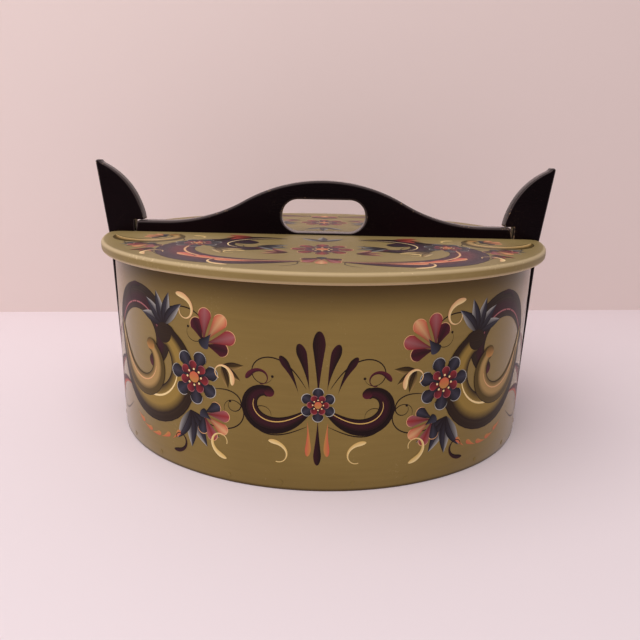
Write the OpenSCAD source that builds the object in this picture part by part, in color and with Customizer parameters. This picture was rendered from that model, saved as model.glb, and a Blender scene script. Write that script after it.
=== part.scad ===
// Bentwood tine box with a handled lid held down by two sprung uprights.
// Millimetres. Origin: middle of the box on the surface it stands on, +Z up,
// +X along the handle, so the uprights stand at the two ends in X.
//
// Every oval here is a four-centre oval: two end arcs and two side arcs that
// share their centres, so an offset of the wall is only a change of radius.

/* [Side band] */
// Outer length of the bent band
band_l = 312.6; // [296:0.1:360]
// Outer width of the bent band
band_w = 281.4; // [230:0.1:290]
// Height of the band
band_h = 132.3; // [100:0.1:180]
// Thickness of the bent strip
band_t = 4; // [3:0.1:6]
// Step at the visible end of the overlapping strip
lap_step = 2; // [1:0.1:2.5]
// Length of the overlap along the wall
lap_len = 96; // [70:1:110]

/* [Root lacing] */
// Width of the root strand
strand_w = 3.2; // [2.5:0.1:4]
// Thickness of the root strand
strand_t = 1.2; // [0.8:0.1:1.6]
// Stitches in each row, outside and inside taken together
stitches = 13; // [7:2:15]
// Distance of each row from the end of its strip
row_in = 12.6; // [8:0.1:16]
// Distance of the rows' ends from the band's edges
row_end = 12; // [8:0.5:20]

/* [Bottom] */
// Thickness of the bottom board
bottom_t = 10; // [9:0.1:14]
// Diameter of the pegs through the band's foot
bottom_peg_d = 3.2; // [2.4:0.1:4]
// Length of those pegs
bottom_peg_l = 18; // [12:0.5:26]
// Diameter of the pegs through the uprights' feet
up_peg_d = 3; // [2.4:0.1:3.2]
// Height of the lower one, which reaches the bottom board
up_peg_z1 = 7; // [6:0.1:8]
// Height of the upper one
up_peg_z2 = 24; // [16:0.5:40]
// How far the pegs stand proud
peg_proud = 0.2; // [0:0.05:0.6]

/* [Lid] */
// How far the lid stands out past the band
lid_over = 8.7; // [7:0.1:12]
// Thickness of the lid board
lid_t = 7.5; // [6:0.1:10]
// Rounding of the lid's edge
lid_round = 3.2; // [1.5:0.1:2.9]
// Rounding in plan beside each end notch
lobe_r = 9; // [4:0.5:10]
// Width of each batten under the lid
batten_w = 24; // [18:0.5:28]
// Thickness of the battens
batten_t = 8; // [6:0.1:11]
// Distance of each batten from the middle
batten_x = 86; // [80:0.5:92]
// Diameter of the pegs that hold the battens
batten_peg_d = 5; // [4:0.1:7]
// Wood left above those pegs
peg_cover = 2; // [1.5:0.1:3]

/* [Handle] */
// Thickness of the handle plank
handle_t = 12; // [9:0.1:16]
// Height of its flat ends
handle_end_h = 8.3; // [7:0.1:12]
// Height of its crest above the lid
handle_h = 40.6; // [36:0.1:52]
// Radius of its crest and of the hollows beside it
handle_r = 125; // [110:1:150]
// Length of the finger slot
slot_l = 64.2; // [56:0.1:80]
// Height of the finger slot
slot_h = 25.2; // [18:0.1:26]
// Wood left under the finger slot
slot_web = 1.5; // [1.5:0.1:2.5]
// Diameter of the dowels from the lid into the handle
dowel_d = 6; // [5:0.1:7]
// How far they go into the handle
dowel_up = 5.5; // [4:0.1:6]
// Distance of the inner dowels from the middle
dowel_x1 = 55; // [46:0.5:60]
// Distance of the outer dowels from the middle
dowel_x2 = 115; // [110:0.5:128]

/* [Uprights] */
// Thickness of each upright, seen from the end
up_t = 10.2; // [8:0.1:14]
// Depth of the post where it leaves the lid
post_top = 9.2; // [7:0.1:11]
// Depth of the post at its foot
post_foot = 5.5; // [4.5:0.1:7]
// Height of the foot above the table
foot_z = 3; // [2:0.1:5]
// How far the upright reaches in over the wall at the lid
up_in = 10.3; // [8:0.1:12]
// How far the hook reaches over the handle's end
hook = 7.3; // [5:0.1:9]
// Blunt height of the hook's nose
hook_nose = 1.3; // [1:0.1:3]
// Height of the ear above the lid
ear_h = 53.1; // [44:0.1:64]
// How far the ear's tip stands out past the wall
ear_out = 16.2; // [12:0.1:19]
// Width of the ear's tip
tip_w = 3.4; // [2.4:0.1:5]
// Radius of the ear's inner edge
ear_r = 51.5; // [48:0.1:70]

/* [Fits] */
// Clearance between pieces that move past each other
run_gap = 0.3; // [0.2:0.05:0.5]
// Play of the handle's ends under the hooks and in the notches
play = 0.6; // [0.4:0.05:1]
// Clearance of pegs and boards that are driven or glued home
seat_gap = 0.05; // [0:0.01:0.1]

/* [Hidden] */
$fn = 96;
OLIVE = "#8a8158";
BLACK = "#1a1214";
WOOD = "#b98f5e";
ROOT = "#7a5a38";

// four-centre oval of the band's outer face, laid out on 3-4-5 triangles: the end arcs' centres
// lie 3 units out on X, the side arcs' 4 units out on Y, and the two radii differ by 5 units.
// The unit is rounded to 0.01 mm, so that the arcs' ends coincide exactly.
a = band_l / 2;
unit = round((band_l - band_w) / 4 * 100) / 100;
b = a - 2 * unit;
end_c = 3 * unit;
side_c = 4 * unit;
end_r = a - end_c;
side_r = end_r + 5 * unit;
join_a = atan2(4, 3);

// heights
lid_z = band_h;
top_z = band_h + lid_t;
big = 400;

// ---- plan of an oval, d outside the band's outer face ----
// the wedge of plan that belongs to one end arc; both kinds of arc are cut by it, so they meet
module end_wedge(m)
    polygon([[m * end_c, 0], [m * (end_c + 0.6 * big), 0.8 * big],
             [m * 2 * big, 0], [m * (end_c + 0.6 * big), -0.8 * big]]);

module oval(d)
    union() {
        difference() {
            intersection() {
                translate([0, -side_c]) circle(side_r + d);
                translate([0, side_c]) circle(side_r + d);
            }
            for (m = [-1, 1]) end_wedge(m);
        }
        for (m = [-1, 1]) intersection() {
            translate([m * end_c, 0]) circle(end_r + d);
            end_wedge(m);
        }
    }

// half the oval's width at x, on a side arc
function half_w(x, d) = sqrt((side_r + d) * (side_r + d) - x * x) - side_c;

module sector(r, from, to)
    polygon([[0, 0], for (t = [0 : 3]) r * [cos(from + (to - from) * t / 3),
                                           sin(from + (to - from) * t / 3)]]);

// ---- side band: bent strip, its ends overlapping at the back ----
lap_half = lap_len / 2 / side_r * 180 / PI;   // half the overlap, as an angle
// each end of the strip is an eccentric arc: flush with the wall at one end of the overlap and
// lap_step off it at the other
lap_x = lap_step / (2 * sin(lap_half));
module lap_outer()
    translate([0, -side_c]) intersection() {
        difference() {
            translate([lap_x, 0]) circle(side_r + lap_step / 2);
            circle(side_r - band_t / 2);
        }
        sector(2 * side_r, 90 - lap_half, 90 + lap_half);
    }

module lap_inner()
    translate([0, -side_c]) intersection() {
        difference() {
            circle(side_r - band_t / 2);
            translate([lap_x, 0]) circle(side_r - band_t - lap_step / 2);
        }
        sector(2 * side_r, 90 - lap_half, 90 + lap_half);
    }

// rows of running stitches, as angles from the back's middle
row_a = [for (m = [1, -1]) m * (lap_half - row_in / side_r * 180 / PI)];
stitch_p = (band_h - 2 * row_end) / stitches;
row_gap = 3 * seat_gap;                       // the strand lies this close to the lap's faces
module strand_part(r0, r1, z0, z1, ang, w)
    translate([0, -side_c, 0]) rotate(90 + ang - w / 2 / side_r * 180 / PI)
        rotate_extrude(angle = w / side_r * 180 / PI)
            translate([r0, z0]) square([r1 - r0, z1 - z0]);

// distance of the lap's outer and inner face from the side arc's centre
function lap_out(ang) = lap_x * cos(90 + ang)
    + sqrt(pow(side_r + lap_step / 2, 2) - pow(lap_x * sin(90 + ang), 2));
function lap_in(ang) = lap_x * cos(90 + ang)
    + sqrt(pow(side_r - band_t - lap_step / 2, 2) - pow(lap_x * sin(90 + ang), 2));

module legs(gap) {
    for (k = [0, 1]) for (i = [0 : stitches]) {
        z = row_end + i * stitch_p;
        strand_part(lap_in(row_a[k]) - band_t, lap_out(row_a[k]) + band_t, z - strand_t / 2 - gap,
                    z + strand_t / 2 + gap, row_a[k], strand_w + 2 * gap);
    }
}

module side_band() color(OLIVE)
    difference() {
        linear_extrude(height = band_h) union() {
            difference() {
                oval(0);
                oval(-band_t);
            }
            lap_outer();
            lap_inner();
        }
        legs(seat_gap);
        peg_holes();
    }

// each row is one unbroken strand: out over a stitch, through the wall, in over the next.
// Its side view, distance from the arc's centre against height, is swept over its width.
module seam_lacing() color(ROOT)
    for (ang = row_a) {
        ro = lap_out(ang) + row_gap;
        ri = lap_in(ang) - row_gap;
        translate([0, -side_c, 0]) rotate(90 + ang - strand_w / 2 / side_r * 180 / PI)
            rotate_extrude(angle = strand_w / side_r * 180 / PI) union() {
                for (i = [0 : stitches])
                    translate([ri - strand_t, row_end + i * stitch_p - strand_t / 2])
                        square([ro - ri + 2 * strand_t, strand_t]);
                for (i = [0 : stitches - 1])
                    translate([i % 2 == 0 ? ro : ri - strand_t, row_end + i * stitch_p])
                        square([strand_t, stitch_p]);
            }
    }

// ---- bottom ----
peg_z = bottom_t / 2;
side_pegs = [52, 71, 82.5, 97.5, 109, 128];    // angles on each side arc
end_pegs = [-36, -18, 18, 36];                 // angles on each end arc
module bottom_peg_set(d, l, out)
    for (s = [0, 180]) rotate(s) {
        for (t = side_pegs) translate([0, -side_c, peg_z]) rotate(t)
            translate([side_r + out - l, 0, 0]) rotate([0, 90, 0]) cylinder(d = d, h = l);
        for (t = end_pegs) translate([end_c, 0, peg_z]) rotate(t)
            translate([end_r + out - l, 0, 0]) rotate([0, 90, 0]) cylinder(d = d, h = l);
    }

// pegs through the uprights' feet: the low one reaches the bottom board
up_peg_z = [up_peg_z1, up_peg_z2];
up_peg_out = run_gap + post_foot + (post_top - post_foot) * up_peg_z2 / band_h + peg_proud;
module upright_peg_set(d, extra)
    for (s = [0, 180]) rotate(s) for (i = [0, 1]) {
        l = band_t + (i == 0 ? bottom_peg_l / 2 : 0) + up_peg_out + extra;
        translate([a + up_peg_out + extra - l, 0, up_peg_z[i]]) rotate([0, 90, 0])
            cylinder(d = d, h = l);
    }

module peg_holes() {
    bottom_peg_set(bottom_peg_d + 2 * seat_gap, bottom_peg_l + band_t, band_t);
    for (s = [0, 180], z = up_peg_z) rotate(s) translate([a - 2 * band_t, 0, z])
        rotate([0, 90, 0]) cylinder(d = up_peg_d + 2 * seat_gap, h = 3 * band_t);
}

// the board's edge is trimmed back where the strip's inner end thickens the wall
module lap_room()
    translate([0, -side_c]) intersection() {
        difference() {
            circle(side_r);
            translate([lap_x, 0]) circle(side_r - band_t - lap_step / 2 - seat_gap);
        }
        sector(2 * side_r, 90 - lap_half - seat_gap, 90 + lap_half + seat_gap);
    }

module bottom_board() color(WOOD)
    difference() {
        linear_extrude(height = bottom_t) difference() {
            oval(-band_t - seat_gap);
            lap_room();
        }
        bottom_peg_set(bottom_peg_d + 2 * seat_gap, bottom_peg_l + peg_proud, peg_proud);
        upright_peg_set(up_peg_d + 2 * seat_gap, peg_proud);
    }

module bottom_pegs() color(WOOD) bottom_peg_set(bottom_peg_d, bottom_peg_l, peg_proud);
module upright_pegs() color(BLACK) upright_peg_set(up_peg_d, 0);

// ---- uprights ----
post_x = a + run_gap;                          // inner face of the post
hook_z = top_z + handle_end_h + play;          // underside of the hook
nose_x = a - up_in - hook;                     // tip of the hook
tip_x = a + ear_out;                           // outer corner of the ear's tip
tip_z = top_z + ear_h;
// centre of the ear's inner edge, on the outer side, from its two ends and its radius
p1 = [nose_x, hook_z + hook_nose];
p2 = [tip_x - tip_w, tip_z - tip_w * 0.45];
pm = (p1 + p2) / 2;
pd = p2 - p1;
pl = norm(pd);
ear_c = pm + [pd[1], -pd[0]] / pl * sqrt(ear_r * ear_r - pl * pl / 4);

module upright_profile()
    difference() {
        union() {
            polygon([[post_x, foot_z], [post_x + post_foot, foot_z],
                     [a + post_top, band_h], [tip_x, tip_z - tip_w * 0.45], p2, p1,
                     [nose_x, hook_z], [a - up_in, hook_z], [a - up_in, band_h + run_gap],
                     [post_x, band_h + run_gap]]);
            // swell of the ear between its straight chord and its curved inner edge
            intersection() {
                translate(ear_c) circle(ear_r);
                polygon([p1, p1 - [30, -10], p2 + [-30, 30], p2]);
            }
            // rounded tip
            translate([tip_x - tip_w / 2, tip_z - tip_w * 0.45]) circle(tip_w * 0.45);
        }
    }

module upright() difference() {
    translate([0, up_t / 2, 0]) rotate([90, 0, 0])
        linear_extrude(height = up_t) upright_profile();
    for (z = up_peg_z) translate([a - band_t, 0, z]) rotate([0, 90, 0])
        cylinder(d = up_peg_d + 2 * run_gap, h = 2 * (band_t + post_top));
}

module right_upright() color(BLACK) upright();
module left_upright() color(BLACK) rotate(180) upright();

// ---- lid ----
notch_x = a - up_in - play;                     // floor of the end notch
notch_w = up_t + 2 * (run_gap + seat_gap);
module bullnose(r)
    union() {
        square([r - lid_round, lid_t]);
        translate([0, lid_round]) square([r, lid_t - 2 * lid_round]);
        translate([r - lid_round, lid_round]) circle(lid_round);
        translate([r - lid_round, lid_t - lid_round]) circle(lid_round);
    }

module lid_blank()
    union() {
        difference() {
            intersection() {
                translate([0, -side_c, 0]) rotate_extrude() bullnose(side_r + lid_over);
                translate([0, side_c, 0]) rotate_extrude() bullnose(side_r + lid_over);
            }
            for (m = [-1, 1]) translate([0, 0, -1]) linear_extrude(height = lid_t + 2)
                end_wedge(m);
        }
        for (m = [-1, 1]) intersection() {
            translate([m * end_c, 0, 0]) rotate_extrude() bullnose(end_r + lid_over);
            translate([0, 0, -1]) linear_extrude(height = lid_t + 2) end_wedge(m);
        }
    }

dowel_x = [dowel_x1, dowel_x2];
batten_end = half_w(batten_x + batten_w / 2, -band_t - 2 * play);   // the batten's shorter side
batten_peg_y = [for (m = [-1, 0, 1]) m * (batten_end - batten_w / 2)];

// the lobes beside the notch: a small arc tangent to the lid's end and to the notch's side
lobe_y = notch_w / 2 + lobe_r;
lobe_d = end_r + lid_over - lobe_r;
lobe_x = end_c + sqrt(lobe_d * lobe_d - lobe_y * lobe_y);
module notch()
    linear_extrude(height = lid_t + 2) {
        translate([notch_x, -notch_w / 2]) square([up_in + 4 * lobe_r, notch_w]);
        for (m = [-1, 1]) difference() {
            polygon([[lobe_x, m * lobe_y],
                     [end_c + (lobe_x - end_c) * 1.2, m * lobe_y * 1.2],
                     [a + 2 * lid_over + lobe_r, 0], [lobe_x, 0]]);
            translate([lobe_x, m * lobe_y]) circle(lobe_r);
        }
    }

module lid_board() color(OLIVE)
    difference() {
        translate([0, 0, lid_z]) lid_blank();
        for (s = [0, 180]) rotate(s) translate([0, 0, lid_z - 1]) notch();
        dowel_set(dowel_d + 2 * seat_gap, lid_z - 1, top_z + 1);
        batten_peg_set(batten_peg_d + 2 * seat_gap, lid_z - 1, top_z - peg_cover + seat_gap);
    }

module batten(s) difference() {
    intersection() {
        translate([s * batten_x - batten_w / 2, -b, lid_z - batten_t])
            cube([batten_w, 2 * b, batten_t]);
        translate([0, 0, lid_z - batten_t - 1]) linear_extrude(height = batten_t + 2)
            oval(-band_t - 2 * play);
    }
    batten_peg_set(batten_peg_d + 2 * seat_gap, lid_z - batten_t - 1, top_z);
}
module left_batten() color(WOOD) batten(-1);
module right_batten() color(WOOD) batten(1);

module batten_peg_set(d, z0, z1)
    for (x = [-batten_x, batten_x]) for (y = batten_peg_y)
        translate([x, y, z0]) cylinder(d = d, h = z1 - z0);
module batten_pegs() color(WOOD) batten_peg_set(batten_peg_d, lid_z - batten_t, top_z - peg_cover);

module dowel_set(d, z0, z1)
    for (x = dowel_x) for (m = [-1, 1])
        translate([m * x, 0, z0]) cylinder(d = d, h = z1 - z0);
module handle_dowels() color(WOOD) dowel_set(dowel_d, lid_z, top_z + dowel_up);

// ---- handle: crest arc, a hollow arc each side, flat ends under the hooks ----
handle_x = a - up_in - 3 * play;                    // half-length
rise = handle_h - handle_end_h;
hollow_x = sqrt(4 * handle_r * rise - rise * rise);
module handle_profile()
    difference() {
        union() {
            translate([-handle_x, 0]) square([2 * handle_x, handle_end_h]);
            intersection() {
                translate([0, handle_h - handle_r]) circle(handle_r);
                translate([-hollow_x / 2, 0]) square([hollow_x, handle_h + 1]);
            }
            for (m = [-1, 1]) difference() {
                translate([m > 0 ? hollow_x / 2 : -hollow_x, 0])
                    square([hollow_x / 2, handle_end_h + rise / 2]);
                translate([m * hollow_x, handle_end_h + handle_r]) circle(handle_r);
            }
        }
        translate([0, slot_web + slot_h / 2]) {
            square([slot_l - slot_h, slot_h], center = true);
            for (m = [-1, 1]) translate([m * (slot_l - slot_h) / 2, 0]) circle(d = slot_h);
        }
    }

module handle() color(BLACK)
    difference() {
        translate([0, handle_t / 2, top_z]) rotate([90, 0, 0])
            linear_extrude(height = handle_t) handle_profile();
        dowel_set(dowel_d + 2 * seat_gap, top_z - 1, top_z + dowel_up + seat_gap);
    }

side_band();
seam_lacing();
bottom_board();
bottom_pegs();
upright_pegs();
left_upright();
right_upright();
lid_board();
left_batten();
right_batten();
batten_pegs();
handle();
handle_dowels();
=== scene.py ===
# %% [markdown]
# # A painted bentwood tine, dressed around its CAD model
# A tine is a Norwegian carrying box: a strip of wood bent into an oval, a board for
# a bottom, and a lid whose handle is caught under two sprung uprights. The CAD model
# fixes every size. This lesson adds what the eye sees: softened edges, satin olive
# paint, black lacquer, bare wood inside, and scrollwork laid on in brush strokes.

# %% The frame
import math

import bmesh
import bpy
import numpy as np
from mathutils import Matrix, Vector
from mathutils.geometry import tessellate_polygon


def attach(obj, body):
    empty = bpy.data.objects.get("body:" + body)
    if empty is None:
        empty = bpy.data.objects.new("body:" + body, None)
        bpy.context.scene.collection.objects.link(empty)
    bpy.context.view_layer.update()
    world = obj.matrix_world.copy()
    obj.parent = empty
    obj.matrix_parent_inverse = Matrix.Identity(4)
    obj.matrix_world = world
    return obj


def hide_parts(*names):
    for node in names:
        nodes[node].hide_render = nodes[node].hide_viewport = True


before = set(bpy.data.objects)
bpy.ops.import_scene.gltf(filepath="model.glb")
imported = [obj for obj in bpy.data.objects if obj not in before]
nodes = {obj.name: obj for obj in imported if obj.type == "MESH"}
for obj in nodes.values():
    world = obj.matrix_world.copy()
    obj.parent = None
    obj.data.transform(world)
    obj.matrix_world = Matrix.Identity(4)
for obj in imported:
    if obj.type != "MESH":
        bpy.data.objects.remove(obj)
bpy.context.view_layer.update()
MM = 0.001
print("CAD nodes:", ", ".join(sorted(nodes)))


# %% [markdown]
# The camera comes from fitting the lid's oval, the wall and the handle to the
# picture: its place in the box's own frame, where it looks, and its lens. It stands
# in front of the middle, half a metre off, and looks down by about 16 degrees. The
# turns are read from the left: sideways, up from looking straight down, and roll.

# %% Camera
def placed(name, data):
    """A new object of the scene that shows this data."""
    made = bpy.data.objects.new(name, data)
    bpy.context.scene.collection.objects.link(made)
    return made


PICTURE_PX, FOCAL_PX, SENSOR = 640, 608, 36.0
CAMERA_AT = (0.0035, -0.47338, 0.20678)
yaw, pitch, roll = np.radians([-0.675, 16.105, 1.131])
turns = (-yaw, "Z"), (math.pi / 2 - pitch, "X"), (roll, "Z")
camera = placed("camera", bpy.data.cameras.new("camera"))
camera.matrix_world = Matrix.Translation(CAMERA_AT)
for angle, axis in turns:
    camera.matrix_world = camera.matrix_world @ Matrix.Rotation(angle, 4, axis)
camera.data.sensor_width = SENSOR
camera.data.lens = SENSOR * FOCAL_PX / PICTURE_PX
camera.data.shift_x = 1 / PICTURE_PX
camera.data.clip_start = 0.01
bpy.context.scene.camera = camera
print("camera at", [round(v, 3) for v in camera.matrix_world.translation])


# %% [markdown]
# Node trees are easier to read when one line makes one node. `put` adds a node, and
# takes either a plain value or another node's output for each of its sockets.
# `colour` turns the 0 to 255 numbers of a paint chart into the linear light that
# Blender works in.


# %% Node helpers
def colour(r, g, b):
    """sRGB to linear: ((c + 0.055) / 1.055) to the power 2.4, or c / 12.92 when dark."""
    c = np.array([r, g, b]) / 255
    linear = np.where(c <= 0.04045, c / 12.92, ((c + 0.055) / 1.055) ** 2.4)
    return tuple(float(v) for v in linear) + (1.0,)


def put(tree, kind, inputs=None, **settings):
    """Adds one shader node; a socket is given a value or linked to another output."""
    made = tree.nodes.new("ShaderNode" + kind)
    for key, value in settings.items():
        setattr(made, key, value)
    for key, value in (inputs or {}).items():
        if isinstance(value, bpy.types.NodeSocket):
            tree.links.new(value, made.inputs[key])
        else:
            made.inputs[key].default_value = value
    return made


def ramp(tree, value, low, high):
    """A value moved from the span low..high to 0..1, with eased ends."""
    return put(tree, "MapRange", {"Value": value, "From Min": low, "From Max": high},
               interpolation_type="SMOOTHSTEP", clamp=True).outputs[0]


def blend_colour(tree, amount, first, second):
    """Two colours mixed by amount."""
    return put(tree, "Mix", {0: amount, 6: first, 7: second}, data_type="RGBA").outputs[2]


def maths(tree, kind, first, second):
    """One step of arithmetic."""
    return put(tree, "Math", {0: first, 1: second}, operation=kind).outputs[0]


def times(tree, first, second):
    """One value scaled by another."""
    return maths(tree, "MULTIPLY", first, second)


def noise(tree, place, scale, detail, **more):
    """Cloudy values between 0 and 1; detail is how many finer layers are added."""
    inputs = {"Vector": place, "Scale": scale, "Detail": detail, **more}
    return put(tree, "TexNoise", inputs).outputs[0]


def new_group(name, values, outs):
    """A node group that reads a place and named values, and its two end nodes."""
    tree = bpy.data.node_groups.new(name, "ShaderNodeTree")
    tree.interface.new_socket("Place", in_out="INPUT", socket_type="NodeSocketVector")
    for title, start in values.items():
        kind = "NodeSocketVector" if isinstance(start, tuple) else "NodeSocketFloat"
        tree.interface.new_socket(title, in_out="INPUT", socket_type=kind).default_value = start
    for title in outs:
        tree.interface.new_socket(title, in_out="OUTPUT", socket_type="NodeSocketFloat")
    return tree, tree.nodes.new("NodeGroupInput").outputs, tree.nodes.new("NodeGroupOutput").inputs


def use_group(tree, group, **inputs):
    """Places a node group in a material with its own values."""
    return put(tree, "Group", inputs, node_tree=group).outputs


def tinted(tree, base, mask, share, shade):
    """The base colour turned towards another one by mask * share."""
    return blend_colour(tree, times(tree, mask, share), base, shade)


def relief(tree, shader, height, strength, distance):
    """Low relief: the normal leans as if the surface rose by height * distance."""
    bump = put(tree, "Bump", {"Strength": strength, "Distance": distance, "Height": height})
    tree.links.new(bump.outputs[0], shader.inputs["Normal"])


def finish(tree, shader, base, tone, smooth, spread):
    """Links the base colour, and a roughness of smooth + spread * tone."""
    tree.links.new(base, shader.inputs["Base Color"])
    rough = maths(tree, "ADD", smooth, times(tree, tone, spread))
    tree.links.new(rough, shader.inputs["Roughness"])


def glancing_gloss(tree, shader, most):
    """Varnish mirrors most where it is seen edge on: the coat grows with Facing."""
    facing = put(tree, "LayerWeight", {"Blend": 0.5}).outputs["Facing"]
    coat = times(tree, ramp(tree, facing, 0.3, 0.85), most)
    tree.links.new(coat, shader.inputs["Coat Weight"])


def new_material(name, **sockets):
    """A material with one Principled BSDF; its fixed numbers go straight on the shader."""
    made = bpy.data.materials.new(name)
    made.use_nodes = True
    tree = made.node_tree
    tree.nodes.clear()
    shader = put(tree, "BsdfPrincipled", {k.replace("_", " "): v for k, v in sockets.items()})
    put(tree, "OutputMaterial", {"Surface": shader.outputs[0]})
    return made, tree, shader


print("node helpers ready")


# %% [markdown]
# Three effects are wanted by several finishes, so each is a node group. *Wood grain*
# is noise drawn out along the fibres, with finer pores in it. *Brush marks* are faint
# long ridges and uneven tone left in paint. *Specks* are the small chips and rubbed
# dots of a box that has been carried about.

# %% Grain, brush marks and specks
grain, ins, outs = new_group("wood grain", {"Fibre": (1, 12, 12), "Scale": 40.0}, ["Tone", "Height"])
drawn = put(grain, "VectorMath", {0: ins["Place"], 1: ins["Fibre"]}, operation="MULTIPLY").outputs[0]
rings = noise(grain, drawn, ins["Scale"], 4.0, Distortion=0.6)
pores = noise(grain, drawn, times(grain, ins["Scale"], 6.0), 2.0)
tone = maths(grain, "ADD", times(grain, ramp(grain, rings, 0.34, 0.66), 0.75), times(grain, pores, 0.25))
grain.links.new(tone, outs["Tone"])
grain.links.new(maths(grain, "ADD", tone, times(grain, pores, 0.6)), outs["Height"])

brush, ins, outs = new_group("brush marks", {"Stroke": (1, 1, 20), "Scale": 30.0}, ["Tone", "Height"])
drawn = put(brush, "VectorMath", {0: ins["Place"], 1: ins["Stroke"]}, operation="MULTIPLY").outputs[0]
hairs = noise(brush, drawn, ins["Scale"], 3.0, Roughness=0.6)
cloud = noise(brush, ins["Place"], 9.0, 2.0)
tone = maths(brush, "ADD", times(brush, hairs, 0.25), times(brush, cloud, 0.75))
brush.links.new(ramp(brush, tone, 0.28, 0.72), outs["Tone"])
brush.links.new(hairs, outs["Height"])

specks, ins, outs = new_group("specks", {"Scale": 400.0, "Amount": 0.1}, ["Mask"])
cells = noise(specks, ins["Place"], ins["Scale"], 2.0, Roughness=0.7)
patches = noise(specks, ins["Place"], 38.0, 1.0)
both = times(specks, cells, maths(specks, "ADD", patches, 0.5))
limit = maths(specks, "SUBTRACT", 0.86, ins["Amount"])
specks.links.new(ramp(specks, maths(specks, "SUBTRACT", both, limit), 0.0, 0.03), outs["Mask"])


def chipped(tree, base, place, scale, amount, edge_mask, least, shade):
    """Specks of the layer below: mask * (edge + least), so that most are at the edges."""
    chips = use_group(tree, specks, Place=place, Scale=scale, Amount=amount)
    worn = times(tree, chips["Mask"], maths(tree, "ADD", edge_mask, least))
    return blend_colour(tree, maths(tree, "MINIMUM", worn, 1.0), base, shade)


print("groups:", grain.name, "/", brush.name, "/", specks.name)


# %% [markdown]
# The wall and lid carry a satin oil paint. Old olive paint is never one colour: it
# was brushed round the wall, it is thinner in places, and it has yellowed under
# varnish. The tone follows the brush marks, and a faint grain shows through as relief.
# The lid is handled more, so it is paler and duller. The wall's colour is darkened under the lid's rim as
# painted shade, and in a thin line at its foot as a painted contact shadow: two masks of height.

# %% Olive paint
def olive_paint(name, dark, pale, stroke, wear, coat, haze):
    """Satin olive: two near tones by brush marks, paler edges that are partly rubbed paint and partly a
    painted highlight, pale specks, low relief.
    coat is how much it mirrors when seen edge on, and haze how blurred that is."""
    made, tree, shader = new_material(name, Specular_IOR_Level=0.22, Coat_Roughness=haze)
    glancing_gloss(tree, shader, coat)
    place = put(tree, "TexCoord").outputs["Object"]
    marks = use_group(tree, brush, Place=place, Stroke=stroke, Scale=26.0)
    fibres = use_group(tree, grain, Place=place, Fibre=stroke, Scale=60.0)
    edge_mask = put(tree, "Attribute", attribute_name="edge").outputs["Fac"]
    base = blend_colour(tree, marks["Tone"], dark, pale)
    # The softened edges turn paler: partly rubbed paint, partly a painted highlight along the rim.
    base = tinted(tree, base, edge_mask, 0.75, colour(200, 176, 138))
    base = chipped(tree, base, place, 620.0, wear, edge_mask, 0.1, colour(206, 182, 140))
    height = maths(tree, "ADD", times(tree, marks["Height"], 0.5), times(tree, fibres["Height"], 0.25))
    relief(tree, shader, height, 0.1, 0.0003)
    finish(tree, shader, base, marks["Tone"], haze + 0.08, 0.12)
    return made, tree, shader, base


# Heights and colour of the painted shade under the rim and of the painted contact shadow at the foot.
RIM_SHADE, FOOT_SHADOW, PAINTED_SHADE_COLOUR = (0.108, 0.1315), (0.0006, 0.0026), colour(58, 38, 10)
lid_paint, *_ = olive_paint("olive lid paint", colour(130, 109, 64), colour(147, 125, 79),
                            stroke=(1.0, 14.0, 14.0), wear=0.17, coat=0.5, haze=0.48)
wall_paint, tree, shader, unshaded = olive_paint(
    "olive wall paint", colour(120, 97, 48), colour(134, 110, 58),
    stroke=(1.0, 1.0, 16.0), wear=0.12, coat=0.8, haze=0.2)
# Painted shade: darker paint under the lid's rim, and a painted contact shadow along the foot, mixed in by
# height.
height = put(tree, "SeparateXYZ", {0: put(tree, "TexCoord").outputs["Object"]}).outputs[2]
under_lid = times(tree, ramp(tree, height, *RIM_SHADE), 0.66)
at_foot = times(tree, maths(tree, "SUBTRACT", 1.0, ramp(tree, height, *FOOT_SHADOW)), 0.8)
painted_shade = blend_colour(tree, maths(tree, "MAXIMUM", under_lid, at_foot), unshaded, PAINTED_SHADE_COLOUR)
tree.links.new(painted_shade, shader.inputs["Base Color"])
print("paints:", wall_paint.name, "/", lid_paint.name)


# %% [markdown]
# The handle and uprights are finished in black lacquer with a breath of maroon in
# it. It is glossy enough to mirror the room along every softened edge, and those
# edges are also painted a pale grey, partly rubbed lacquer and partly a painted
# highlight. It has chipped to the wood at a few corners.

# %% Black lacquer
black_lacquer, tree, shader = new_material(
    "black lacquer", Specular_IOR_Level=0.06, Coat_Roughness=0.14)
glancing_gloss(tree, shader, 0.7)
place = put(tree, "TexCoord").outputs["Object"]
marks = use_group(tree, brush, Place=place, Stroke=(3.0, 12.0, 12.0), Scale=40.0)
edge_mask = put(tree, "Attribute", attribute_name="edge").outputs["Fac"]
base = blend_colour(tree, marks["Tone"], colour(8, 2, 4), colour(18, 4, 8))
# Painted highlight: the softened edges turn pale grey, partly rubbed lacquer and partly a painted highlight.
base = tinted(tree, base, maths(tree, "POWER", edge_mask, 2.0), 0.45, colour(112, 97, 97))
base = chipped(tree, base, place, 520.0, 0.16, edge_mask, 0.015, colour(150, 122, 96))
relief(tree, shader, marks["Height"], 0.12, 0.0003)
finish(tree, shader, base, marks["Tone"], 0.24, 0.14)
print("lacquer:", black_lacquer.name)


# %% [markdown]
# Inside, underneath and on the pegs the wood is bare. One recipe serves for every
# piece, with its own fibre direction and colours: along the strip on the wall, along
# the board on the bottom, along the peg on a peg. The lacing is split root: darker,
# dull and stringy.

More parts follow.
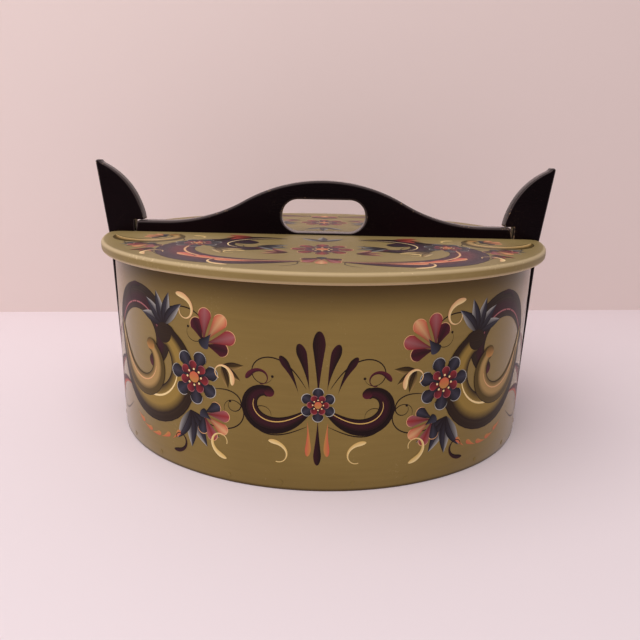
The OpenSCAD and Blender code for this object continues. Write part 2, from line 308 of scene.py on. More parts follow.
# %% Bare wood and root
def bare_wood(name, fibre, dark, pale, coordinates="Object", scale=30.0):
    """Dull wood: dark and pale tones by grain, with open pores as relief."""
    made, tree, shader = new_material(name)
    place = put(tree, "TexCoord").outputs[coordinates]
    fibres = use_group(tree, grain, Place=place, Fibre=fibre, Scale=scale)
    base = blend_colour(tree, fibres["Tone"], colour(*dark), colour(*pale))
    stain = ramp(tree, noise(tree, place, 7.0, 3.0), 0.5, 0.75)
    base = tinted(tree, base, stain, 0.3, colour(*dark))
    relief(tree, shader, fibres["Height"], 0.4, 0.0004)
    finish(tree, shader, base, fibres["Tone"], 0.6, 0.2)
    return made


strip_wood = bare_wood("bent strip wood", (1, 14, 1), (150, 112, 70), (196, 160, 112), "UV", 24.0)
board_wood = bare_wood("board wood", (1, 13, 13), (148, 110, 68), (198, 162, 114))
batten_wood = bare_wood("batten wood", (12, 1, 12), (146, 108, 66), (192, 154, 106))
peg_wood = bare_wood("peg end wood", (8, 8, 8), (96, 66, 38), (150, 112, 72), scale=60.0)
root_fibre = bare_wood("split root", (8, 8, 1), (70, 46, 26), (128, 92, 56), scale=90.0)
print("woods:", strip_wood.name, board_wood.name, batten_wood.name, peg_wood.name, root_fibre.name)


# %% [markdown]
# Every new piece goes through `piece`: it takes millimetres, writes the mesh from
# arrays, gives it materials and attributes, and lets it ride on a body. `grid` lists
# the four-sided faces of a grid of points, open or closed either way.


# %% Mesh helpers
def grid(rows, columns, close_rows=False, close_columns=False):
    """Faces of a grid: point (i, j) is number i * columns + j, and a face joins
    (i, j), (i + 1, j), (i + 1, j + 1) and (i, j + 1)."""
    i = np.arange(rows if close_rows else rows - 1)[:, None]
    j = np.arange(columns if close_columns else columns - 1)[None, :]
    down, across = (i + 1) % rows, (j + 1) % columns
    four = i * columns + j, down * columns + j, down * columns + across, i * columns + across
    return np.stack(np.broadcast_arrays(*four), -1).reshape(-1, 4)


def piece(name, points, faces, body, materials, stands_for=(), flat=(), index=None,
          edge=None, paint=None, uv=None):
    """One finished piece. points are in mm; flat numbers the faces that stay unsmoothed;
    edge and paint are values and colours per point; uv is a pair per point."""
    mesh = bpy.data.meshes.new(name)
    mesh.from_pydata((np.asarray(points) * MM).tolist(), [], [list(f) for f in faces])
    smooth = np.ones(len(mesh.polygons), bool)
    smooth[list(flat)] = False
    mesh.polygons.foreach_set("use_smooth", smooth)
    for material in materials:
        mesh.materials.append(material)
    if index is not None:
        mesh.polygons.foreach_set("material_index", np.asarray(index, np.int32))
    for title, kind, key, values in (("edge", "FLOAT", "value", edge),
                                     ("paint", "FLOAT_COLOR", "color", paint)):
        if values is not None:
            layer = mesh.attributes.new(title, kind, "POINT")
            layer.data.foreach_set(key, np.asarray(values, np.float32).ravel())
    if uv is not None:
        corners = np.zeros(len(mesh.loops), np.int32)
        mesh.loops.foreach_get("vertex_index", corners)
        mesh.uv_layers.new(name="UVMap").data.foreach_set("uv", np.asarray(uv, np.float32)[corners].ravel())
    mesh.update()
    made = placed(name, mesh)
    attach(made, body)
    if stands_for:
        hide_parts(*stands_for)
    print(name, "has", len(mesh.vertices), "points and rides on", body)
    return made


def welded(made):
    """Merges points that coincide, which also closes up faces of no area."""
    work = bmesh.new()
    work.from_mesh(made.data)
    bmesh.ops.remove_doubles(work, verts=work.verts, dist=1e-7)
    work.to_mesh(made.data)
    work.free()


print("mesh helpers ready")


# %% [markdown]
# The wall is a strip bent round a four-centre oval: two end arcs and two side arcs
# that share their tangents. Going round it, the direction of the outward normal grows
# evenly on each arc, so one table of distances and angles gives any point on it. At
# the back the strip's two ends overlap, and the outer end stands 2 mm proud.

# %% The oval
END_X, SIDE_Y = 23.4, 31.2
END_R, SIDE_R = 132.9, 171.9
WALL_H, WALL_T = 132.3, 4.0
JOIN = math.degrees(math.atan2(4, 3))
side_run = SIDE_R * math.radians(90 - JOIN)
end_run = 2 * END_R * math.radians(JOIN)
marks_s = np.cumsum([-side_run, 2 * side_run, end_run, 2 * side_run, end_run])
marks_a = np.array([JOIN - 180, -JOIN, JOIN, 180 - JOIN, 180 + JOIN])
arc_centres = np.array([[0, SIDE_Y], [END_X, 0], [0, -SIDE_Y], [-END_X, 0]])
arc_radii = np.array([SIDE_R, END_R, SIDE_R, END_R])
perimeter = marks_s[-1] - marks_s[0]


def oval(s, out=0.0):
    """Point of the wall's outer face s mm round from the front's middle, moved out by
    `out`: the arc's centre plus (radius + out) times (cos a, sin a)."""
    s = (np.asarray(s, float) - marks_s[0]) % perimeter + marks_s[0]
    which = np.clip(np.searchsorted(marks_s, s, "right") - 1, 0, 3)
    angle = np.radians(np.interp(s, marks_s, marks_a))
    reach = (arc_radii[which] + out)[..., None]
    return arc_centres[which] + reach * np.stack([np.cos(angle), np.sin(angle)], -1)


print("the wall is", round(perimeter, 1), "mm round")

# %% [markdown]
# The strip could be a curve with a profile, but plain rows of points say exactly where
# its two ends meet. Each column of points runs up the outer face, over the rim and
# down the inside, and the columns go round the oval. In the overlap both faces follow
# circles a little off centre. The faces inside are bare wood, the others are painted.

# %% Bent wall
LAP_STEP, LAP_RUN, RIM_EASE, RIM_ROWS = 2.0, 48.0, 0.7, 9
PLAIN_COLUMNS, LAP_COLUMNS = 420, 60
lap_x = LAP_STEP / (2 * math.sin(LAP_RUN / SIDE_R))
back_s = marks_s[2] + side_run


def lap_reach(angle, radius):
    """Distance from the side arc's centre to an eccentric circle, in direction angle."""
    c, s = lap_x * np.cos(angle), lap_x * np.sin(angle)
    return c + np.sqrt(radius ** 2 - s ** 2)


plain_s = np.linspace(back_s + LAP_RUN - perimeter, back_s - LAP_RUN, PLAIN_COLUMNS)
lap_s = np.linspace(back_s - LAP_RUN, back_s + LAP_RUN, LAP_COLUMNS)
lap_angle = math.pi / 2 + (lap_s - back_s) / SIDE_R
ring_s = np.concatenate([plain_s, lap_s])
lap_out = lap_reach(lap_angle, SIDE_R + LAP_STEP / 2) - SIDE_R
lap_in = lap_reach(lap_angle, SIDE_R - WALL_T - LAP_STEP / 2) - SIDE_R
face_out = np.concatenate([np.zeros(PLAIN_COLUMNS), lap_out])
face_in = np.concatenate([np.full(PLAIN_COLUMNS, -WALL_T), lap_in])

quarter = np.linspace(0, math.pi / 2, 4)
slow, quick = RIM_EASE * (1 - np.cos(quarter)), RIM_EASE * (1 - np.sin(quarter))
rise = np.linspace(RIM_EASE, WALL_H - RIM_EASE, RIM_ROWS)
half_rim = np.concatenate([
    np.stack([quick, slow], -1)[:-1], np.stack([np.zeros(RIM_ROWS), rise], -1),
    np.stack([slow, WALL_H - quick], -1)[1:]])
rim_in, rim_z = half_rim.T
loop_out = np.concatenate([face_out[:, None] - rim_in, face_in[:, None] + rim_in[::-1]], 1)
loop_z = np.broadcast_to(np.concatenate([rim_z, rim_z[::-1]]), loop_out.shape)
loop_s = np.broadcast_to(ring_s[:, None], loop_out.shape)
plan = oval(loop_s, loop_out)
points = np.concatenate([plan, loop_z[..., None]], -1).reshape(-1, 3)
faces = grid(*loop_out.shape, close_rows=True, close_columns=True)
column = np.tile(np.arange(loop_out.shape[1]), len(ring_s))
half = len(rim_z)
inner = (column >= half - 1) & (column < 2 * half)
welded(piece("bent_wall", points, faces, "box", [wall_paint, strip_wood],
             ["side_band"], index=inner.astype(int),
             uv=np.stack([loop_s.ravel() * MM, loop_z.ravel() * MM], -1)))


# %% [markdown]
# The lid, the handle and the uprights are boards sawn to an outline and softened all
# round. One function makes all of them: it carries the rounded edge's profile along
# the outline, stepping inwards along the mitre of the two neighbouring edges, and
# closes both faces with a flat sheet. The softening may differ from point to point,
# so that a handle keeps a crisp foot and a lid keeps a crisp notch. Mitres cross where
# a corner is no rounder than its softening, so each corner is drawn rounder than that.


# %% Sawn boards
def arc(centre, radius, start, end, spacing=2.0):
    """Points of a circle from angle start to angle end, in degrees."""
    count = max(4, int(abs(math.radians(end - start)) * radius / spacing) + 2)
    angle = np.radians(np.linspace(start, end, count))
    return np.array(centre) + radius * np.stack([np.cos(angle), np.sin(angle)], -1)


def corner(before, point, after, radius, count=6):
    """A corner rounded off: the arc of that radius that touches both of its edges."""
    before, point, after = map(np.array, (before, point, after))
    u = (before - point) / np.linalg.norm(before - point)
    w = (after - point) / np.linalg.norm(after - point)
    half_angle = math.acos(float(np.clip(u @ w, -1, 1))) / 2
    reach = radius / math.tan(half_angle)
    middle = point + (u + w) / np.linalg.norm(u + w) * radius / math.sin(half_angle)
    first, last = point + u * reach - middle, point + w * reach - middle
    t = np.linspace(0, 1, count)[:, None]
    chord = first * (1 - t) + last * t
    return middle + chord / np.linalg.norm(chord, axis=1, keepdims=True) * radius


def rounded(path, radii):
    """Every inner point of a path rounded off, each by its own radius."""
    return np.concatenate([corner(*path[k:k + 3], radius) for k, radius in enumerate(radii)])


def inwards(loop, by):
    """Each point of a closed outline moved left of its direction of travel by `by`:
    along (n1 + n2) / (1 + n1 . n2), where n1 and n2 are its two edges' normals."""
    edge = np.roll(loop, -1, 0) - loop
    edge /= np.linalg.norm(edge, axis=1, keepdims=True)
    normal = np.stack([-edge[:, 1], edge[:, 0]], -1)
    last = np.roll(normal, 1, 0)
    mitre = (normal + last) / (1 + (normal * last).sum(1, keepdims=True))
    return loop + mitre * np.asarray(by).reshape(-1, 1)


def flat_sheet(rims):
    """Faces that fill an outline, all turned up: one face if there are no holes in it,
    and triangles of more than no area if there are."""
    plan = np.concatenate(rims)
    if len(rims) == 1:
        return [list(range(len(plan)))]
    made = []
    for tri in tessellate_polygon([[Vector((x, y, 0)) for x, y in rim] for rim in rims]):
        a, b, c = plan[list(tri)]
        area = np.cross(b - a, c - a)
        if abs(area) > 1e-9:
            made.append(list(tri) if area > 0 else list(tri)[::-1])
    return made


def board(loops, eases, low, high, margin):
    """A board with softened edges from outlines in its own plane. Level k of its edge
    profile is a quarter circle: in by ease * (1 - sin), down by ease * (1 - cos)."""
    turn_up = np.linspace(0, math.pi / 2, 6)
    points, faces, edges, caps, offset = [], [], [], [], 0
    for loop, soft in zip(loops, eases):
        n, rim = len(loop), inwards(loop, soft + margin)
        rings, values = [np.column_stack([rim, np.full(n, low)])], [0.0]
        for face, sense, turns in ((low, 1, turn_up), (high, -1, turn_up[::-1])):
            for k in turns:
                side = inwards(loop, soft * (1 - math.sin(k)))
                rings.append(np.column_stack([side, face + sense * soft * (1 - math.cos(k))]))
                values.append(math.sin(2 * k))
        rings.append(np.column_stack([rim, np.full(n, high)]))
        points += rings
        edges.append(np.repeat(values + [0.0], n))
        faces += (grid(len(rings), n, close_columns=True)[:, ::-1] + offset).tolist()
        caps.append(((offset, offset + (len(rings) - 1) * n), rim))
        offset += len(rings) * n
    flat, sheet = [], flat_sheet([rim for _, rim in caps])
    for end in (0, 1):
        numbers = np.concatenate([np.arange(len(rim)) + starts[end] for starts, rim in caps])
        for face in sheet:
            flat.append(len(faces))
            faces.append(numbers[face if end else face[::-1]].tolist())
    return np.concatenate(points), faces, np.concatenate(edges), flat


def standing(points):
    """A board drawn in plan stood up: its outline in X and Z, its thickness along -Y."""
    return np.stack([points[:, 0], -points[:, 2], points[:, 1]], -1)


print("board maker ready")

# %% [markdown]
# The lid is one board that overhangs the wall, with a notch sawn in at each end for
# its upright. A boolean cut would leave ragged faces at the softened edge, so the
# notches are part of the outline: one end is drawn, mirrored, and turned half round.

# %% Lid board
LID_OUT, LID_Z, LID_T, LID_EASE = 8.7, 132.3, 7.5, 2.4
NOTCH_X, NOTCH_Y, NOTCH_EASE, LOBE_R = 145.4, 5.45, 0.7, 9.0
lid_end, lid_side = END_R + LID_OUT, SIDE_R + LID_OUT
lobe_y = NOTCH_Y + LOBE_R
lobe_x = END_X + math.sqrt((lid_end - LOBE_R) ** 2 - lobe_y ** 2)
lobe_a = math.degrees(math.atan2(lobe_y, lobe_x - END_X))
lid_end_line = np.concatenate([
    corner((NOTCH_X, 0), (NOTCH_X, NOTCH_Y), (lobe_x, NOTCH_Y), 1.0),
    arc((lobe_x, lobe_y), LOBE_R, -90, lobe_a, 1.0)[:-1],
    arc((END_X, 0), lid_end, lobe_a, JOIN)[:-1]])
side_line = arc((0, -SIDE_Y), lid_side, JOIN, 180 - JOIN)
half_lid = np.concatenate([lid_end_line, side_line, lid_end_line[::-1] * (-1, 1)])
lid_outline = np.concatenate([half_lid, -half_lid])
past_notch = np.clip((np.abs(lid_outline[:, 1]) - NOTCH_Y) / LOBE_R, 0, 1)
near_end = np.abs(lid_outline[:, 0]) > 140
lid_ease = np.where(near_end, NOTCH_EASE + (LID_EASE - NOTCH_EASE) * past_notch, LID_EASE)
TOP_Z = LID_Z + LID_T
points, faces, edge, flat = board([lid_outline], [lid_ease], LID_Z, TOP_Z, 0.6)
face_low = [max(points[list(f), 2]) < LID_Z + 0.01 for f in faces]
piece("lid_top", points, faces, "lid", [lid_paint, board_wood],
      ["lid_board"], flat=flat, index=np.array(face_low, int), edge=edge)

# %% [markdown]
# The handle is a plank on edge. Two hollow arcs rise from its flat ends into one crest
# arc of the same radius, and where they touch follows from that radius and the two
# heights. The slot for the fingers is a second outline in the same board.

# %% Handle
HANDLE_X, HANDLE_T = 144.2, 12.0
END_H, CREST_H, BOW_R = 8.3, 40.6, 125.0
hollow_x = math.sqrt(4 * BOW_R * (CREST_H - END_H) - (CREST_H - END_H) ** 2)
join_angle = math.degrees(math.acos(hollow_x / 2 / BOW_R))
right_rise = np.concatenate([
    corner((0, 0), (HANDLE_X, 0), (HANDLE_X, END_H), 0.6),
    corner((HANDLE_X, 0), (HANDLE_X, END_H), (hollow_x, END_H), 2.5),
    arc((hollow_x, END_H + BOW_R), BOW_R, -90, -180 + join_angle)[:-1]])
crest = arc((0, CREST_H - BOW_R), BOW_R, join_angle, 180 - join_angle)
handle_outline = np.concatenate([right_rise, crest, right_rise[::-1] * (-1, 1)])
SLOT_R, SLOT_X, SLOT_Z = 12.6, 19.5, 14.1
slot_outline = np.concatenate([
    arc((-SLOT_X, SLOT_Z), SLOT_R, 270, 90, 1.2), arc((SLOT_X, SLOT_Z), SLOT_R, 90, -90, 1.2)])
handle_ease = 0.3 + 1.7 * np.clip(handle_outline[:, 1] / 6.0, 0, 1)
slot_ease = 0.6 + 1.2 * np.clip((slot_outline[:, 1] - 3.0) / 8.0, 0, 1)
rise_up = np.array([0.0, TOP_Z])
points, faces, edge, flat = board([handle_outline + rise_up, slot_outline + rise_up],
                                  [handle_ease, slot_ease], -HANDLE_T / 2, HANDLE_T / 2, 0.1)
piece("carry_handle", standing(points), faces, "lid", [black_lacquer],
      ["handle"], flat=flat, edge=edge)

# %% [markdown]
# An upright is a springy slat. It leans out from its foot, has a hook that holds the
# handle down, and ends in an ear whose inner edge is one hollow arc. Both are the same
# board: the left one is the right one after half a turn.

# %% Uprights
POST_X, UP_T, EAR_R = 156.6, 10.2, 51.5
FOOT_Z, SEAT_Z, HOOK_Z, NOSE_Z, EAR_Z, TIP_Z = 3.0, 132.6, 148.7, 150.0, 191.37, 192.9
NOSE_X, HEAD_X, TIP_X, BACK_X = 138.7, 146.0, 169.1, 172.5
nose, ear_end = np.array([NOSE_X, NOSE_Z]), np.array([TIP_X, EAR_Z])
chord = ear_end - nose
span = np.linalg.norm(chord)
sagitta = math.sqrt(EAR_R ** 2 - span ** 2 / 4)
ear_centre = (nose + ear_end) / 2 + np.array([chord[1], -chord[0]]) / span * sagitta
from_a, to_a = (math.degrees(math.atan2(*(p - ear_centre)[::-1])) for p in (ear_end, nose))
ear = arc(ear_centre, EAR_R, from_a, to_a)
back = rounded([(POST_X, SEAT_Z), (POST_X, FOOT_Z), (162.1, FOOT_Z), (165.5, 132.3), (BACK_X, TIP_Z),
                (TIP_X, TIP_Z), (168.6, 190.4)], (1.8, 1.8, 40.0, 1.6, 1.5))
hook = rounded([ear[-3], nose, (NOSE_X, HOOK_Z), (HEAD_X, HOOK_Z), (HEAD_X, SEAT_Z), (POST_X, SEAT_Z),
                (POST_X, FOOT_Z)], (0.5, 0.4, 0.6, 1.8, 0.4))
upright_outline = np.concatenate([back, ear[1:-1], hook])
near_nose = np.hypot(*(upright_outline - nose).T)
upright_ease = np.clip(0.25 + (near_nose - 2.0) * 0.12, 0.25, 1.4)
by_lid = (upright_outline[:, 0] < 150) & (upright_outline[:, 1] < 149)
upright_ease = np.where(by_lid, np.minimum(upright_ease, 0.6), upright_ease)
for name, body, side in (("right_post", "right_upright", 1), ("left_post", "left_upright", -1)):
    points, faces, edge, flat = board([upright_outline], [upright_ease], -UP_T / 2, UP_T / 2, 0.1)
    solid = standing(points) * (side, side, 1)
    piece(name, solid, faces, body, [black_lacquer], [body], flat=flat, edge=edge)

# %% [markdown]
# The lacing, pegs, dowels, battens and bottom are small, straight or hidden. Their CAD
# shapes are good enough to be seen, so they only get their wood, root or paint.

# %% CAD pieces that keep their shape
for node, material in {"seam_lacing": root_fibre, "bottom_board": board_wood, "bottom_pegs": wall_paint,
                       "upright_pegs": black_lacquer, "left_batten": batten_wood, "right_batten": batten_wood,
                       "batten_pegs": peg_wood, "handle_dowels": peg_wood}.items():
    nodes[node].data.materials.clear()
    nodes[node].data.materials.append(material)
print("wood and root given to the plain pieces")

# %% [markdown]
# Rosemaling is built from very few strokes: a comma pulled from a round head to a
# thin tail, a scroll that swells and curls up, a hair line, a dot. Each stroke is a
# narrow sheet just off the surface: a path widened by a rule, with one colour on each
# side, as a brush loaded with two paints leaves it. A shader pattern could not follow
# so many separate curves, so every stroke is a mesh, bent onto the wall.

# %% Paint box
INK, MAROON, WINE = colour(20, 5, 13), colour(48, 12, 28), colour(84, 24, 42)
CRIMSON, CORAL, ORANGE = colour(146, 44, 50), colour(196, 92, 70), colour(182, 128, 70)
CREAM, GOLD, PEACH = colour(236, 208, 152), colour(208, 170, 98), colour(216, 164, 118)
SLATE, NIGHT, FOG = colour(56, 56, 72), colour(16, 17, 28), colour(176, 172, 168)
UMBER, MOSS, OLIVE = colour(38, 24, 18), colour(80, 62, 26), colour(146, 118, 58)
ROSE, TAN, PLUM = colour(156, 92, 96), colour(170, 136, 84), colour(44, 16, 40)
print("the paint box holds 18 colours")

# %% Brush strokes
STEPS = 49
t = (1 - np.cos(math.pi * np.linspace(0, 1, STEPS))) / 2


def sweep(start, heading, length, turning=0.0, late=1.0):
    """A path of that length whose heading, in degrees, is heading + turning * t^late:
    late above 1 keeps the curl for the end."""
    angle = np.radians(heading + turning * t ** late)
    direction = np.stack([np.cos(angle), np.sin(angle)], -1)
    steps = (direction[1:] + direction[:-1]) / 2 * np.diff(t)[:, None] * length
    return np.concatenate([[start], np.array(start) + np.cumsum(steps, 0)])


def away(at, far, angle):
    """The point that lies `far` from `at`, at an angle in degrees."""
    return np.array(at) + far * np.array([math.cos(math.radians(angle)), math.sin(math.radians(angle))])


def left_of(path):
    """Unit vectors that point left of a path's direction of travel."""
    along = np.gradient(path, axis=0)
    along /= np.linalg.norm(along, axis=1, keepdims=True) + 1e-12
    return np.stack([-along[:, 1], along[:, 0]], -1)


def comma_width(w, head=0.22, hair=0.0):
    """Round head, then a taper: a quarter circle up to `head`, then (1 - u)^1.4, never
    thinner than the hair line that may follow it."""
    u = np.clip(t / head, 0, 1)
    fall = np.clip((t - head) / (1 - head), 0, 1)
    body = w * np.where(t < head, np.sqrt(1 - (1 - u) ** 2), (1 - fall) ** 1.4)
    return np.where(t < head, body, np.maximum(body, hair * (t < 0.995)))


def leaf_width(w, peak):
    """Pointed at both ends: the sine of pi * t^peak."""
    return w * np.sin(math.pi * t ** peak)


def scroll_width(w, length):
    """A scroll swells from a point to its full width by the middle, narrows to a neck,
    and ends in a ball: a half circle of 0.6 times the width round its last stretch."""
    ball = 0.6 * w
    left = (1 - t) * length
    neck = 0.45 + 0.55 * np.cos(math.pi * (t - 0.5)) ** 1.2
    body = w * np.where(t < 0.5, np.sin(math.pi * t) ** 0.8, neck)
    ended = np.where(left < 2 * ball, np.sqrt(np.clip(ball ** 2 - (left - ball) ** 2, 0, None)), 0)
    return np.where(left < ball, ended, np.maximum(body, ended))


def line_width(w):
    """A hair line that starts and ends in a point."""
    return w * np.sin(math.pi * t) ** 0.5 * (1 - 0.45 * t)


def stroke(path, width, shades, kind="plain", deep=0.0):
    """One stroke: point (t, v) is path(t) + v * width(t) * normal(t). A list of shades is
    spread evenly from the right of its travel to the left. A broad stroke is a finer
    grid than a plain one, and a hair line is only three points wide. deep is how far it
    sinks into ink by its end, as u^1.3, or by its start when it is negative."""
    every, across = {"broad": (1, 9), "plain": (2, 5), "hair": (1, 3)}[kind]
    run = np.concatenate([[0], np.cumsum(np.linalg.norm(np.diff(path, axis=0), axis=1))])[::every]
    normal = left_of(path)[::every]
    path, width = path[::every], np.maximum(width, 0.02)[::every]
    v = np.linspace(-1, 1, across)
    place = path[:, None] + v[None, :, None] * width[:, None, None] * normal[:, None]
    stops = np.array(shades if isinstance(shades, list) else [shades] * 2)
    spread = np.linspace(-1, 1, len(stops))
    tones = np.stack([np.interp(v, spread, stops[:, k]) for k in range(4)], -1)
    u = t[::every] if deep > 0 else 1 - t[::every]
    sunk = (abs(deep) * u[:len(path)] ** 1.3)[:, None, None]
    shade = tones[None] * (1 - sunk) + np.array(INK) * sunk
    return place, shade, np.stack(np.broadcast_arrays(run[:, None] * MM, v[None, :]), -1)


def flipped(strokes, across=0.0):
    """The same strokes left to right about `across`, with their columns turned round
    so that the sheets still face outwards."""
    return [((p * (-1, 1) + (2 * across, 0))[:, ::-1], c[:, ::-1], u[:, ::-1]) for p, c, u in strokes]


print("a broad stroke is", STEPS, "by 9 points")

# %% Motifs
def dot(at, radius, shades):
    """A round touch: a short path as wide as the square root of 1 - (2t - 1)^2."""
    return stroke(sweep((at[0] - radius, at[1]), 0, 2 * radius),
                  radius * np.sqrt(np.clip(1 - (2 * t - 1) ** 2, 0, 1)), shades)


def comma(at, heading, length, turning, width, shades):
    """A comma stroke, from its round head to its tail."""
    return [stroke(sweep(at, heading, length, turning), comma_width(width), shades)]


def drop(at, heading, length, turning, width, shades):
    """A comma whose tail runs on into a curled hair line."""
    return [stroke(sweep(at, heading, length, turning * 1.2, 1.7), comma_width(width * 0.75, 0.16, 0.3),
                   shades, "broad")]


def tendril(at, heading, length, turning, shade=INK, width=0.5, late=1.8):
    """A hair line that curls up, with a dot where the brush stops."""
    path = sweep(at, heading, length, turning, late)
    return [stroke(path, line_width(width), shade, "hair"), dot(path[-1], width * 1.7, shade)]


def rim_line(at, radius, middle, half_span, shade, width):
    """A hair line round part of a circle: heading grows evenly along it."""
    a = middle - half_span
    path = sweep(away(at, radius, a), a + 90, radius * math.radians(2 * half_span), 2 * half_span)
    return [stroke(path, line_width(width), shade, "hair")]


def scroll(at, heading, length, turning, width, outer, body, ball, liner=CREAM, late=1.5):
    """The big scroll: outlined, dark along its back, the body's tone inside, a shaded
    ball where it curls up, and a pale liner along its inner side."""
    path = sweep(at, heading, length, turning, late)
    swell = scroll_width(width, length)
    hand = 1 if turning > 0 else -1
    tones = [outer, outer, body, body, outer][::hand]
    made = [stroke(path, swell + 0.4, INK, "broad"), stroke(path, swell, tones, "broad")]
    made.append(dot(path[-6], 0.56 * width, [ball, outer]))
    keep = t < 0.8
    thin = width * 0.06 * np.sqrt(np.sin(math.pi * t[keep] / 0.8))
    inner = path + left_of(path) * (hand * 0.5 * swell)[:, None]
    made.append(stroke(inner[keep], thin, liner, "hair"))
    return made


def petal(at, heading, length, width, shades, edge=FOG):
    """A petal pulled from its round end at `at` towards the flower's middle, deep at
    its foot, with a hair line round the end."""
    body = stroke(sweep(at, heading, length), comma_width(width, min(0.45, width / length)),
                  shades, deep=0.85)
    return [body] + rim_line(away(at, width, heading), width * 0.96, heading + 180, 95, edge, 0.28)


def rosette(at, radius, petals=6, spin=0.0, shades=(NIGHT, SLATE, NIGHT), edge=FOG, heart=CRIMSON):
    """A flower seen from the front: petals, a ring of small inner petals, a round eye
    and a circle of dots."""
    made = []
    rings = (0.0, 1.0, 1.9, list(shades), edge), (0.5, 0.6, 1.15, [heart, WINE], ROSE)
    for shift, reach, wide, tones, rim in rings:
        for k in range(petals):
            a = spin + 360 * (k + shift) / petals
            made += petal(away(at, radius * reach, a), a + 180, radius * reach * 0.95,
                          radius * wide / petals, tones, rim)
    made.append(dot(at, radius * 0.2, [ORANGE, CORAL]))
    made += [dot(away(at, radius * 0.29, 45 * k), radius * 0.04, CREAM) for k in range(8)]
    return made


def bud(at, heading, size, warm=(CRIMSON, ROSE), dark=(WINE, MAROON)):
    """A tulip from the side: five petals fanned from its foot, in a dark cup."""
    made = []
    for spread, tones, long in ((62, dark, 0.72), (-62, dark, 0.72), (34, warm, 0.95),
                                (-34, warm, 0.95), (0, (CORAL, PEACH), 1.0)):
        a = heading + spread
        made += petal(away(at, size * long, a), a + 180, size * long, size * 0.2,
                      [tones[0], tones[1], tones[0]], PEACH)
    foot = away(at, -0.12 * size, heading)
    return made + comma(foot, heading, size * 0.5, 0, size * 0.17, [NIGHT, SLATE])


def leaves(at, heading, size, shades=(NIGHT, SLATE, FOG), count=3, fan=26):
    """A few leaf strokes side by side, dark at the stem and pale at one edge."""
    made = []
    for k in range(count):
        a = heading + fan * (k - (count - 1) / 2)
        bend = 12 * (k - (count - 1) / 2)
        made.append(stroke(sweep(at, a, size, bend), leaf_width(size * 0.16, 0.9),
                           list(shades), deep=-0.9))
        made.append(stroke(sweep(at, a, size * 0.9, bend), line_width(0.25), INK, "hair"))
    return made


print("motifs: dot, comma, drop, tendril, scroll, petal, rosette, bud, leaves")

# %% [markdown]
# The composition on the wall is a plain traditional one: a large scroll that sweeps
# down and curls up, a smaller one nested in it, a third that closes the ring above,
# and a rosette with two buds at its front. A plume of five long leaves rises beside
# the upright, and drops with curled hair lines thin the pattern out towards the
# front's middle, where a low spray spreads to both sides of a small rosette. The
# group is repeated at both ends of the front and of the back. Each mark is a row of
# numbers: where it starts, its heading in degrees, its length, and how far it turns.


# %% Wall design
def side_group():
    """One group, drawn on the right of the front: distance round the wall, height."""
    made = []
    for at, heading, length, turning, late in (
            ((112, 104), 158, 74, 330, 2.6), ((80, 40), 196, 66, -330, 2.4), ((150, 30), 322, 62, 300, 2.4),
            ((172, 84), 66, 60, -300, 2.4), ((66, 62), 172, 40, 330, 2.2)):
        made += tendril(at, heading, length, turning, late=late)
    for k, tones in enumerate(([MAROON, WINE, ROSE], [INK, MAROON, WINE], [MAROON, ROSE, FOG],
                               [INK, MAROON, ROSE], [MAROON, WINE, CORAL])):
        made.append(stroke(sweep((212 - 4 * k, 13), 86 + 8 * k, 112 - 13 * k, 14 + 16 * k, 1.6),
                           leaf_width(6.4 - 0.5 * k, 0.62), tones, "broad"))
        made.append(stroke(sweep((212 - 4 * k, 15), 86 + 8 * k, 92 - 12 * k, 10 + 12 * k, 1.6),
                           line_width(0.3), PEACH if k % 2 else INK, "hair"))
    made += tendril((214, 60), 84, 52, 320, late=2.4)
    made += scroll((166, 76), 106, 116, 234, 8.5, UMBER, MAROON, WINE, ROSE)
    made += leaves((104, 96), 74, 23, count=5, fan=24)
    made += leaves((84, 44), 256, 26, count=4, fan=22)
    made += leaves((60, 78), 214, 15, (UMBER, MOSS, TAN), fan=34)
    made += scroll((162, 90), 262, 152, -250, 12.0, UMBER, OLIVE, UMBER)
    made += scroll((156, 78), 256, 88, -236, 7.2, MOSS, TAN, ORANGE, PEACH)
    for k in range(5):
        made += comma((94 + 9.5 * k, 27 - 8 * math.sin(0.62 * k)), 300 + 18 * k, 11, 26, 1.7, [CORAL, ORANGE])
    made += bud((72, 90), 128, 24)
    made += bud((74, 44), 212, 20, (ROSE, CRIMSON), (NIGHT, SLATE))
    made += rosette((80, 67), 18, 7, 8)
    for row in (((92, 119), 186, 34, 235, 2.4, [PEACH, CREAM]), ((53, 66), 96, 28, -215, 2.1, [CREAM, PEACH]),
                ((58, 16), 20, 34, 230, 2.2, [CREAM, GOLD]), ((100, 12), 176, 30, -225, 2.0, [INK, MAROON]),
                ((128, 118), 8, 34, -220, 2.4, [INK, MAROON])):
        made += drop(*row)
    return made


def front_spray():
    """The low spray in the front's middle, the same left and right."""
    half = tendril((6, 44), -26, 64, 320, late=2.4) + tendril((7, 68), 58, 66, -320, late=2.2)
    half += scroll((3, 56), -42, 70, 262, 5.4, INK, MAROON, WINE, GOLD, 2.0)
    half += drop((30, 33), 186, 26, 165, 2.0, [GOLD, CREAM])
    half += drop((44, 72), 122, 26, 215, 2.2, [WINE, MAROON])
    for row in (((12, 96), 250, 30, 14, 3.0, [MAROON, INK]), ((23, 88), 232, 26, 24, 2.3, [INK, MAROON]),
                ((6, 24), 96, 24, -14, 1.8, [CORAL, ORANGE])):
        half += comma(*row)
    middle = comma((0, 104), 270, 42, 0, 3.8, [INK, MAROON])
    middle += comma((0, 18), 90, 32, 0, 2.4, [INK, MAROON])
    return half + flipped(half) + middle + rosette((0, 58), 11, 6, 30)


front_group = side_group()
upright_s = marks_s[1] + end_run / 2
back_group = flipped(front_group, upright_s)
wall_strokes = front_group + flipped(front_group) + back_group + flipped(back_group) + front_spray()
print("the wall carries", len(wall_strokes), "strokes")

